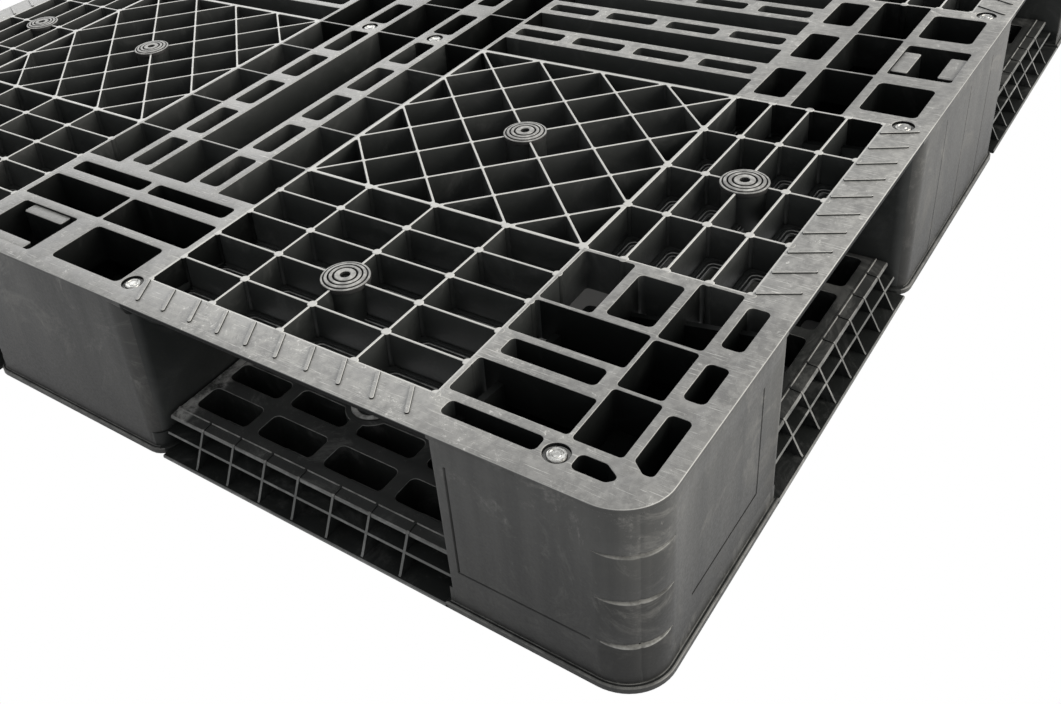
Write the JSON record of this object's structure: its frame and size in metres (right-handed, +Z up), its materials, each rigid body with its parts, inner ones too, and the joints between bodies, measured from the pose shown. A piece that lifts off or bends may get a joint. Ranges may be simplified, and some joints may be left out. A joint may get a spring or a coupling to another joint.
{
  "type": "plastic pallet",
  "caption": "Plastic pallet with an open lattice deck on hollow legs, fork entries on every side and a bottom frame with wheel windows.",
  "frame": {"origin": "on the floor, under the middle of the pallet", "axes": "+X along the 48 in length, +Y along the 42 in width, +Z up from the floor to the load face"},
  "size_m": [1.2192, 1.0668, 0.1524],
  "materials": {
    "deck_plastic": "scuffed charcoal moulded polyethylene",
    "frame_plastic": "dark moulded polyethylene",
    "grommet_plastic": "worn anti-slip grommet",
    "zinc_steel": "bright zinc-plated bolt"
  },
  "bodies": {
    "root": {"top_deck": "deck_plastic", "bottom_frame": "frame_plastic", "top_grommet_end_field_front_left": "grommet_plastic", "bottom_grommet_end_field_front_left": "grommet_plastic", "top_grommet_side_field_front_left": "grommet_plastic", "bottom_grommet_side_field_front_left": "grommet_plastic", "top_grommet_diagonal_field_front_left": "grommet_plastic", "bolt_corner_front_left": "zinc_steel", "bolt_end_block_front_left": "zinc_steel", "bolt_side_block_front_left": "zinc_steel", "bolt_centre_front_left": "zinc_steel", "top_grommet_end_field_front_right": "grommet_plastic", "bottom_grommet_end_field_front_right": "grommet_plastic", "top_grommet_side_field_front_right": "grommet_plastic", "bottom_grommet_side_field_front_right": "grommet_plastic", "top_grommet_diagonal_field_front_right": "grommet_plastic", "bolt_corner_front_right": "zinc_steel", "bolt_end_block_front_right": "zinc_steel", "bolt_side_block_front_right": "zinc_steel", "bolt_centre_front_right": "zinc_steel", "top_grommet_end_field_rear_left": "grommet_plastic", "bottom_grommet_end_field_rear_left": "grommet_plastic", "top_grommet_side_field_rear_left": "grommet_plastic", "bottom_grommet_side_field_rear_left": "grommet_plastic", "top_grommet_diagonal_field_rear_left": "grommet_plastic", "bolt_corner_rear_left": "zinc_steel", "bolt_end_block_rear_left": "zinc_steel", "bolt_side_block_rear_left": "zinc_steel", "bolt_centre_rear_left": "zinc_steel", "top_grommet_end_field_rear_right": "grommet_plastic", "bottom_grommet_end_field_rear_right": "grommet_plastic", "top_grommet_side_field_rear_right": "grommet_plastic", "bottom_grommet_side_field_rear_right": "grommet_plastic", "top_grommet_diagonal_field_rear_right": "grommet_plastic", "bolt_corner_rear_right": "zinc_steel", "bolt_end_block_rear_right": "zinc_steel", "bolt_side_block_rear_right": "zinc_steel", "bolt_centre_rear_right": "zinc_steel"}
  },
  "joints": []
}
